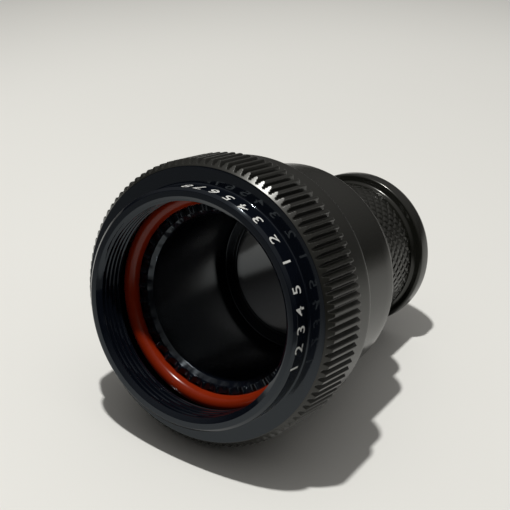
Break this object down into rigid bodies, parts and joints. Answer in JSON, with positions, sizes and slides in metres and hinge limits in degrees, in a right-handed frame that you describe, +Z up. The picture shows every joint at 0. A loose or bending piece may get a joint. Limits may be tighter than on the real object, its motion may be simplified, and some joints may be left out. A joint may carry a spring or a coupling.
{
  "type": "circular connector backshell",
  "caption": "Rear adapter for a round multi-pin connector: knurled spin-coupling nut, sealed toothed body and a knurled shield-banding tail for the cable.",
  "frame": {"origin": "centre of the coupling nut's mouth, in the plane of its front face", "axes": "+Y along the common axis from the mouth to the tail, +Z up as the part lies"},
  "size_m": [0.0446, 0.0551, 0.0446],
  "materials": {
    "black_anodised": "black hard-anodised, satin where it faces up and glossier on the turned faces",
    "orange_silicone": "smooth dark orange-red silicone",
    "black_rubber": "matt black nitrile rubber",
    "white_ptfe": "plain white PTFE",
    "spring_steel": "oiled stainless spring steel",
    "hard_steel": "polished bearing steel",
    "white_ink": "worn white marking ink, on the digits of the neck band only"
  },
  "bodies": {
    "adapter": {"adapter_body": "black_anodised", "shield_tail": "black_anodised", "interface_seal": "orange_silicone", "dust_seal": "black_rubber", "front_slip_washer": "white_ptfe", "wave_spring": "spring_steel", "rear_slip_washer": "white_ptfe", "detent_spring_1": "spring_steel", "detent_spring_2": "spring_steel", "detent_spring_3": "spring_steel"},
    "nut": {"coupling_nut": "black_anodised", "retaining_ring": "spring_steel"},
    "ball_1": {"detent_ball_1": "hard_steel"},
    "ball_2": {"detent_ball_2": "hard_steel"},
    "ball_3": {"detent_ball_3": "hard_steel"}
  },
  "joints": [
    {"name": "nut_spin", "type": "hinge", "parent": "adapter", "child": "nut", "pos_m": [0, 0, 0], "axis": [0, 1, 0], "continuous": true},
    {"name": "ball_1_press", "type": "slide", "parent": "adapter", "child": "ball_1", "axis": [0, 0, 1], "range_m": [-0.0003, 0], "stiffness_N_per_m": 300, "springref_m": 0.0005, "deforming": ["detent_spring_1"]},
    {"name": "ball_2_press", "type": "slide", "parent": "adapter", "child": "ball_2", "axis": [0.866, 0, -0.5], "range_m": [-0.0003, 0], "stiffness_N_per_m": 300, "springref_m": 0.0005, "deforming": ["detent_spring_2"]},
    {"name": "ball_3_press", "type": "slide", "parent": "adapter", "child": "ball_3", "axis": [-0.866, 0, -0.5], "range_m": [-0.0003, 0], "stiffness_N_per_m": 300, "springref_m": 0.0005, "deforming": ["detent_spring_3"]}
  ]
}
